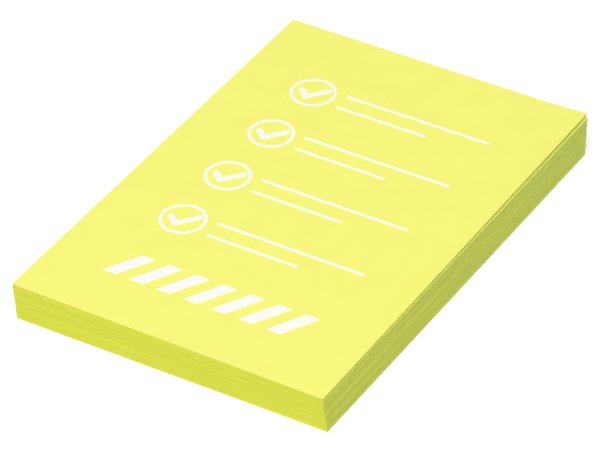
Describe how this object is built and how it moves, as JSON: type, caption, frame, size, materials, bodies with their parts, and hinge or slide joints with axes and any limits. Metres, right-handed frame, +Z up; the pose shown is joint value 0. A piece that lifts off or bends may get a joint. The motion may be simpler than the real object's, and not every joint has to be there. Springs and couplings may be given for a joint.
{
  "type": "pad of repositionable notes",
  "caption": "Small oblong pad of yellow repositionable notes with a printed cover sheet, resting flat on its liner.",
  "frame": {"origin": "on the table, under the middle of the pad", "axes": "+X across the pad, +Y along it towards the glued end, +Z up from the liner to the cover"},
  "size_m": [0.0506, 0.0759, 0.0081],
  "materials": {
    "white_ink": "matte",
    "cover_paper": "matte",
    "note_paper": "matte",
    "liner_paper": "satin"
  },
  "bodies": {
    "root": {"cover_print": "white_ink", "cover_sheet": "cover_paper", "note_block": "note_paper", "liner": "liner_paper"}
  },
  "joints": []
}
